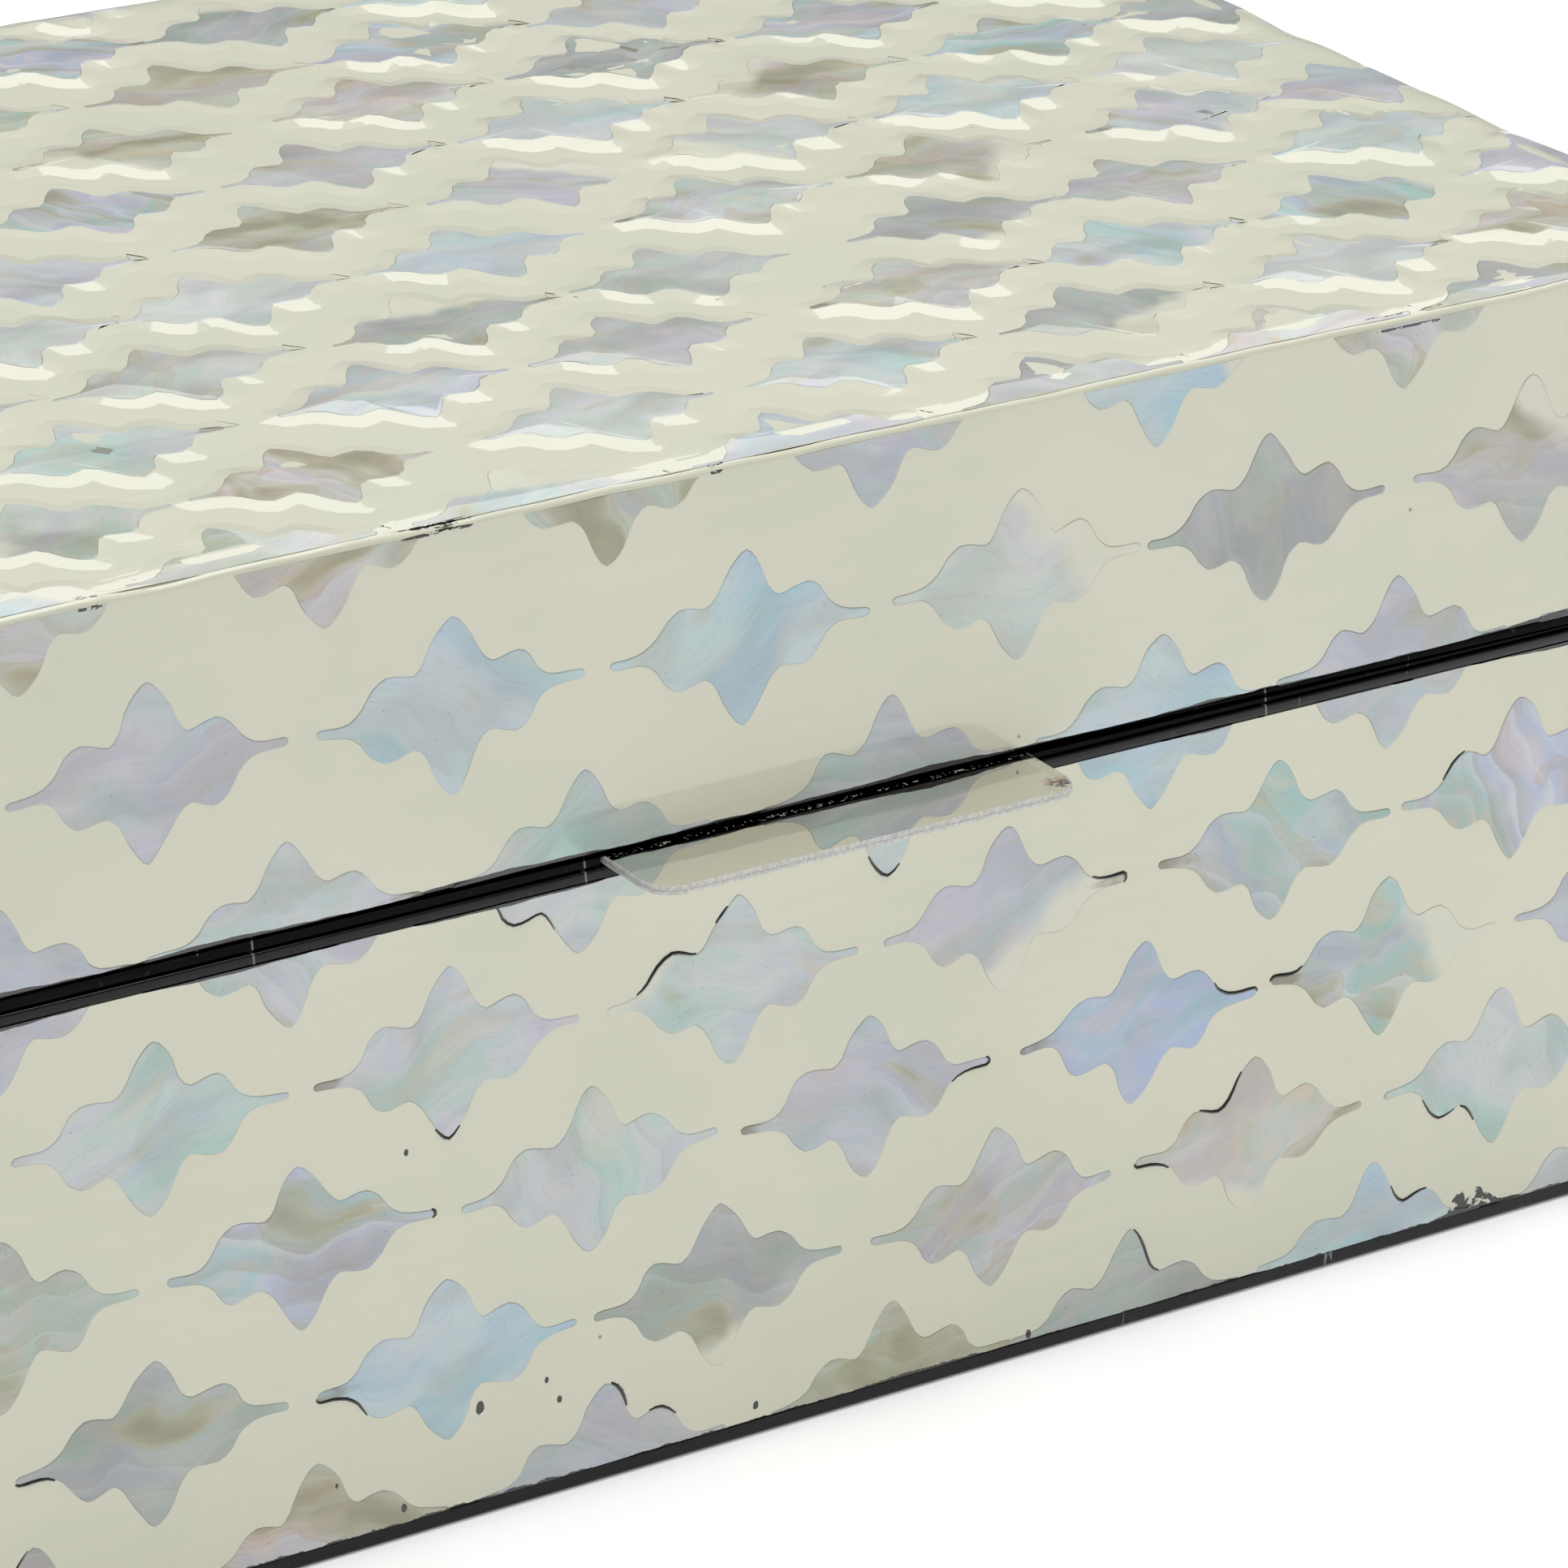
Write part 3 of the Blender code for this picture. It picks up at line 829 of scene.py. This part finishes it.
class Shell:
    """Where one shell lies on its face, its size, its slight turn, and how its cutter strayed."""

    def __init__(self, face, centre, share, mound, draw):
        self.face, self.centre, self.share, self.mound = face, centre, share, mound
        self.turn = Matrix.Rotation(math.radians(draw.uniform(-SHELL_TURN, SHELL_TURN)), 2)
        self.seed = Vector([draw.uniform(0, 90) for _ in range(3)])
        self.tilt = Vector((draw.uniform(-1, 1), draw.uniform(-1, 1))) * (TOP_TILT if mound else 0.0)
        self.dome = draw.choice(DOME_SHARES) * (TOP_DOME if mound else 0.0)

    def spot(self, flat, lift, raised=1.0, domed=0.0):
        """Where a point of the blank comes to lie, on its share of the mound's and the dome's height."""
        wobble = Vector((flat.x, flat.y, 0)) / SAW_LENGTH + self.seed
        strayed = flat + Vector((noise.noise(wobble), noise.noise(wobble + UP * 9))) * SAW_SLIP
        point = self.centre + self.turn @ strayed * self.share
        uneven = 1 + MOUND_UNEVEN * noise.noise(wobble * 0.8 + UP * 5)
        height = self.mound * uneven
        height *= 1 - TIP_LOSS * smoothstep((abs(flat.x) / MM - TIP_START) / TIP_LENGTH)
        height += self.tilt.dot(flat) + self.dome * domed
        kept = smoothstep(self.face.margin(point) / EDGE_FADE)
        return self.face.spot(point, lift + raised * height * kept)


def laid(blank, shell):
    """A copy of a blank where its shell lies; a mound's outer rim stays at the resin's level."""
    piece = add_object("shell", blank.data.copy())
    mound = blank.name == "mound"
    for vert in piece.data.vertices:
        level = vert.co.z
        lift, raised = (min(0.0, level), max(0.0, level) / MOUND_RISE) if mound else (level, 1.0)
        domed = float(not mound and level > SHELL_PROUD + SHELL_DOME / 2)
        vert.co = shell.spot(vert.co.xy, lift, raised, domed)
    return piece


def laid_pearl(blank, shell, mood, draw):
    """A shell plate, laid, with the attributes that its material reads."""
    piece = laid(blank, shell)
    first, second, streaks, stained = MOODS[mood]
    grain_turn = Matrix.Rotation(math.radians(draw.choice(GRAIN_TURNS)), 2)
    streaks, stained = streaks * draw.uniform(*MOOD_SPREAD), stained * draw.uniform(*MOOD_SPREAD)
    veil_turn, veil_start = draw.uniform(0, math.tau), draw.choice(VEIL_STARTS)
    veil_way = Vector((math.cos(veil_turn) * 0.6, math.sin(veil_turn)))
    brown_end = draw.choice(BROWN_ENDS)
    grain, veil, rim, stalk = [], [], [], []
    for vert in blank.data.vertices:
        flat = vert.co.xy / MM
        fleck = grain_turn @ flat
        grain += [fleck.x + shell.seed.x, fleck.y + shell.seed.y, shell.seed.z]
        veil.append((flat.dot(veil_way) - veil_start) / VEIL_LENGTH)
        # rim: 0 on the plate's sunk edge and 1 on its top, for the painted shade along the rim
        rim.append(0.0 if vert.co.z < 0 else 1.0)
        stalk.append(smoothstep((flat.x * brown_end - BROWN_START) / BROWN_LENGTH))
    mesh, count = piece.data, len(blank.data.vertices)
    for name, kind, values in (
        ("grain", "FLOAT_VECTOR", grain),
        ("nature", "FLOAT_VECTOR", [streaks, stained, 0.0] * count),
        ("tint_a", "FLOAT_COLOR", list(paint(*first)) * count),
        ("tint_b", "FLOAT_COLOR", list(paint(*second)) * count),
        ("veil", "FLOAT", veil),
        ("rim", "FLOAT", rim),
        ("stalk", "FLOAT", stalk),
    ):
        field = {"FLOAT_VECTOR": "vector", "FLOAT_COLOR": "color", "FLOAT": "value"}[kind]
        mesh.attributes.new(name, kind, "POINT").data.foreach_set(field, values)
    return piece


def join(name, pieces, material):
    """Joins pieces into one."""
    select_only(pieces[0])
    for piece in pieces:
        piece.select_set(True)
    bpy.ops.object.join()
    joined = bpy.context.object
    joined.name = joined.data.name = name
    joined.data.materials.clear()
    joined.data.materials.append(material)
    return joined


def trim(piece, face):
    """Cuts what lies on a face square at its limits, lines it near the lid's edges, and settles it."""
    edit(piece)
    for axis, direction in enumerate((face.across, face.upwards)):
        for corner, side in (face.low, -1), (face.high, 1):
            bpy.ops.mesh.select_all(action="SELECT")
            start, square = face.middle + direction * corner[axis], direction * side
            bpy.ops.mesh.bisect(plane_co=start, plane_no=square, use_fill=True, clear_outer=True)
            rolled = face.out.z > 0.5 or (side > 0 and direction.z > 0.5 and face.high.y > LID_RIM)
            for i in range(EDGE_LINES if rolled else 0):
                bpy.ops.mesh.select_all(action="SELECT")
                inward = start - direction * side * (i + 1) * EDGE_REACH / EDGE_LINES
                bpy.ops.mesh.bisect(plane_co=inward, plane_no=direction)
    leave()
    face.settle(piece)


def seam(shell, start, end, draw):
    """A thin black gap along a stretch of a shell's outline, tapering to both ends."""
    count = len(FINE_OUTLINE)
    steps = range(round(start * count), round(end * count) + 1)
    line = bpy.data.curves.new("seam", "CURVE")
    line.dimensions = "3D"
    line.bevel_depth = draw.uniform(*GAP_RADII) * MM
    line.bevel_resolution = 1
    line.use_fill_caps = True
    path = line.splines.new("POLY")
    path.points.add(len(steps) - 1)
    for i, (step, dot) in enumerate(zip(steps, path.points)):
        dot.co = (*shell.spot(FINE_OUTLINE[step % count] * 1.006, -0.05 * MM), 1)
        dot.radius = 0.35 + 0.65 * math.sin(math.pi * (i + 0.5) / len(steps))
    select_only(add_object("seam", line))
    bpy.ops.object.convert(target="MESH")
    return bpy.context.object


def columns(face, pitch, shift, reach):
    """Where a row's shells lie across a face, the ones that its ends cut included."""
    first = math.ceil((face.low.x - reach - shift) / pitch)
    last = math.floor((face.high.x + reach - shift) / pitch)
    return [shift + i * pitch for i in range(first, last + 1)]


def side_rows():
    """Name, height and stagger of the rows round the sides, from the foot up, cut ones included."""
    rows = []
    parting = LID_RIM - FIT + ROW_LAP
    base_step = (parting - FOOT_PAINT_LINE) / 4
    lid_step = (SKIN_TOP.z - LID_RIM + FIT) / 2
    for i in range(5):
        rows.append((f"base_{i}", FOOT_PAINT_LINE + base_step * i, (i + 1) % 2))
    for i in range(1, 3):
        rows.append((f"lid_{i}", parting + lid_step * i, (i + 1) % 2))
    return rows


def front_place(row, column, place, height):
    """A front shell's centre: its CAD node's where it has one, else the row's with its slip."""
    whole = sorted(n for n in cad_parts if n.startswith(f"front_shell_{row}_"))
    for node in whole:
        low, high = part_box(node)
        middle = (low + high) / 2
        if abs(middle.x - place) < PITCH / 3:
            return Vector((middle.x, middle.z))
    slips = CUT_SLIPS.get(row)
    slip = slips[min(column, len(slips) - 1)] if slips else 0
    return Vector((place + slip * MM, height))


def mood_of(words, column, draw):
    """The mood that a row's list gives, or one drawn where there is none."""
    listed = words.split() if words else []
    return listed[column] if column < len(listed) else draw.choice(sorted(MOODS))


def side_shells(blank, name, face, front, lid, material, draw):
    """All shells of one upright face of the lid or the base, and the black gaps beside them."""
    shells, seams = [], []
    for row, height, shifted in side_rows():
        if row != "base_4" and row.startswith("lid") != lid:
            continue
        kerf = (LID_KERF if lid else BASE_KERF) if row == "base_4" else 0
        shift = PATTERN_SHIFT - PITCH / 2 * shifted
        for column, place in enumerate(columns(face, PITCH, shift, SHELL_HALF.x)):
            centre = Vector((place + draw.uniform(-1, 1) * MM, height + draw.uniform(-0.4, 0.4) * MM))
            if front:
                centre = front_place(row, column, place, height)
            centre.y += kerf
            mood = mood_of(FRONT_MOODS[row] if front else None, column, draw)
            shell = Shell(face, centre, 1.0, 0.0, draw)
            shells.append(laid_pearl(blank, shell, mood, draw))
            stretches = SEAMS.get((row, column - 1), ()) if front else ()
            if not front and draw.random() < GAP_SHARE:
                begin = draw.uniform(0, 1)
                stretches = ((begin, begin + draw.uniform(*GAP_LENGTHS)),)
            if not lid or row == "lid_1":
                seams += [seam(shell, start, end, draw) for start, end in stretches]
    shells = join(name, shells, material)
    trim(shells, face)
    return shells, seams


def top_shells(blank, mound, face, pearl, resin, draw):
    """The shells of the lid's top, smaller and closer than those of the sides, and their mounds."""
    shells, mounds = [], []
    for row, words in enumerate(TOP_MOODS):
        height = face.low.y - FACE_MARGIN + TOP_FIRST_ROW + row * TOP_ROW_STEP
        shift = TOP_SHIFT - TOP_PITCH / 2 * (row % 2)
        for column, place in enumerate(columns(face, TOP_PITCH, shift, SHELL_HALF.x * TOP_SHARE)):
            slip = TOP_SLIPS.get((row, column), draw.uniform(-1, 1))
            across = place + slip * MM
            centre = Vector((across, height + draw.uniform(-0.5, 0.5) * MM))
            rise = MOUND_RISE * draw.uniform(*MOUND_SHARES)
            rise *= 0.5 + 0.5 * smoothstep((across - LOW_MOUNDS) / (HIGH_MOUNDS - LOW_MOUNDS))
            shell = Shell(face, centre, TOP_SHARE, rise, draw)
            shells.append(laid_pearl(blank, shell, mood_of(words, column, draw), draw))
            mounds.append(laid(mound, shell))
    shells, mounds = join("shells_lid_top", shells, pearl), join("shell_mounds", mounds, resin)
    trim(shells, face)
    trim(mounds, face)
    return shells, mounds


def upright_faces(low, high):
    """The four upright faces between two heights: front, right, back and left."""
    made = {}
    inner = (HALF_WIDTH - FACE_MARGIN, HALF_DEPTH - FACE_MARGIN)
    for name, turn in (("front", 0), ("right", 90), ("back", 180), ("left", 270)):
        spin = Matrix.Rotation(math.radians(turn), 3, "Z")
        reach, away = (inner[0], HALF_DEPTH) if turn % 180 == 0 else (inner[1], HALF_WIDTH)
        middle, across = spin @ Vector((0, -away, 0)), spin @ Vector((1, 0, 0))
        made[name] = Face(middle, across, UP, (-reach, low), (reach, high))
    return made


def dress_shells(pearl, resin, black):
    """All shells of the box, face by face, with their mounds and the black gaps beside them."""
    draw = random.Random(11)
    fine, coarse = shell_blank(FINE_OUTLINE, True), shell_blank(OUTLINE, False)
    mound = mound_blank(OUTLINE)
    pieces = []
    for part, low, high in (
        ("lid", LID_PAINT_LINE, SKIN_TOP.z - FACE_MARGIN),
        ("base", FOOT_PAINT_LINE, BASE_PAINT_LINE),
    ):
        seams = []
        for side, face in upright_faces(low, high).items():
            name = f"shells_{part}_{side}"
            front = side == "front"
            blank = fine if front else coarse
            shells, gaps = side_shells(blank, name, face, front, part == "lid", pearl, draw)
            if front:
                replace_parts(shells, *[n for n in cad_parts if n.startswith(f"front_shell_{part}_")])
            pieces.append(shells)
            if gaps:
                gaps = join("gaps", gaps, black)
                trim(gaps, face)
                seams.append(gaps)
        pieces.append(join(f"seam_gaps_{part}", seams, black))
    reach = Vector((HALF_WIDTH - FACE_MARGIN, HALF_DEPTH - FACE_MARGIN))
    top = Face((0, 0, SKIN_TOP.z), (1, 0, 0), (0, 1, 0), -reach, reach)
    shells, mounds = top_shells(coarse, mound, top, pearl, resin, draw)
    pieces += [shells, mounds]
    for blank in (fine, coarse, mound):
        bpy.data.objects.remove(blank)
    for piece in pieces:
        smooth(piece, 9 if piece.name.startswith("shells") else 40)
        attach(piece, "root")


def carcasses(glossy, matt):
    """The two black carcasses, their sharp CAD edges eased by the paint."""
    for name, node, material in (("base_body", "base_carcass", glossy), ("lid_body", "lid_carcass", matt)):
        piece = copy_node(name, node)
        ease(piece, CARCASS_ARRIS)
        piece.data.materials.append(material)
        smooth(piece, 35)
        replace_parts(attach(piece, "root"), node)


def resin_skins(material):
    """The resin skins of the lid and the base."""
    lid_low = Vector((-HALF_WIDTH, -HALF_DEPTH, LID_PAINT_LINE + SKIN_GAP))
    lid = resin_skin("lid_resin", lid_low, SKIN_TOP.copy(), True, material)
    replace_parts(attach(lid, "root"), "lid_inlay")
    low = Vector((-HALF_WIDTH, -HALF_DEPTH, FOOT_PAINT_LINE + SKIN_GAP))
    high = Vector((HALF_WIDTH, HALF_DEPTH, BASE_PAINT_LINE - SKIN_GAP))
    base = resin_skin("base_resin", low, high, False, material)
    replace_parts(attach(base, "root"), "base_inlay")


def tab_plate(clear, frosted):
    """The clear plate with eased arrises and sanded edges."""
    piece = copy_node("tab_plate", "thumb_tab")
    ease(piece, TAB_ARRIS)
    piece.data.materials.append(clear)
    piece.data.materials.append(frosted)
    smooth(piece, 40)
    for face in piece.data.polygons:
        face.material_index = 0 if abs(face.normal.z) > 0.95 else 1
        face.use_smooth = face.area < 4 * MM ** 2
    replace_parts(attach(piece, "root"), "thumb_tab")


def add_camera():
    """A long lens, close above the left end of the front."""
    made = bpy.data.cameras.new("camera")
    made.lens, made.sensor_width, made.clip_start = CAMERA_LENS, 36, 0.01
    view = add_object("camera", made)
    turn = Matrix.Rotation(math.radians(-CAMERA_AZIMUTH), 3, "Z")
    turn = turn @ Matrix.Rotation(math.radians(90 - CAMERA_ELEVATION), 3, "X")
    turn = turn @ Matrix.Rotation(math.radians(CAMERA_ROLL), 3, "Z")
    view.rotation_euler = turn.to_euler()
    view.location = CAMERA_PLACE
    bpy.context.scene.camera = view


def add_softbox(name, place, size, power):
    """A flat area light aimed at the box."""
    made = bpy.data.lights.new(name, "AREA")
    made.shape, made.size, made.size_y, made.energy = "RECTANGLE", size[0], size[1], power
    lamp = add_object(name, made)
    lamp.location = place
    lamp.rotation_euler = (Vector(LIGHTS_AIM) - Vector(place)).to_track_quat("-Z", "Y").to_euler()


def studio():
    """Pale floor, white surroundings and soft boxes."""
    bpy.ops.mesh.primitive_plane_add(size=12, location=(0, 0, 0))
    floor = bpy.context.object
    floor.name = floor.data.name = "studio_floor"
    floor.data.materials.append(floor_white())
    world = bpy.data.worlds.new("studio")
    world.use_nodes = True
    nodes, links = world.node_tree.nodes, world.node_tree.links
    background, path = nodes["Background"], nodes.new("ShaderNodeLightPath")
    background.inputs["Color"].default_value = (1, 1, 1, 1)
    strength = nodes.new("ShaderNodeMapRange")
    strength.inputs["To Min"].default_value, strength.inputs["To Max"].default_value = SKY, 1.0
    links.new(path.outputs["Is Camera Ray"], strength.inputs["Value"])
    links.new(strength.outputs["Result"], background.inputs["Strength"])
    bpy.context.scene.world = world
    for softbox in SOFTBOXES:
        add_softbox(*softbox)
    bpy.context.scene.view_settings.view_transform = "Standard"


resin, pearl = cream_resin(), mother_of_pearl()
resin_skins(resin)
carcasses(black_lacquer("black_lacquer", 1.0), black_lacquer("matt_black", 0.15))
tab_plate(clear_plate(), sanded_edge())
dress_shells(pearl, resin, seam_black())
studio()
add_camera()
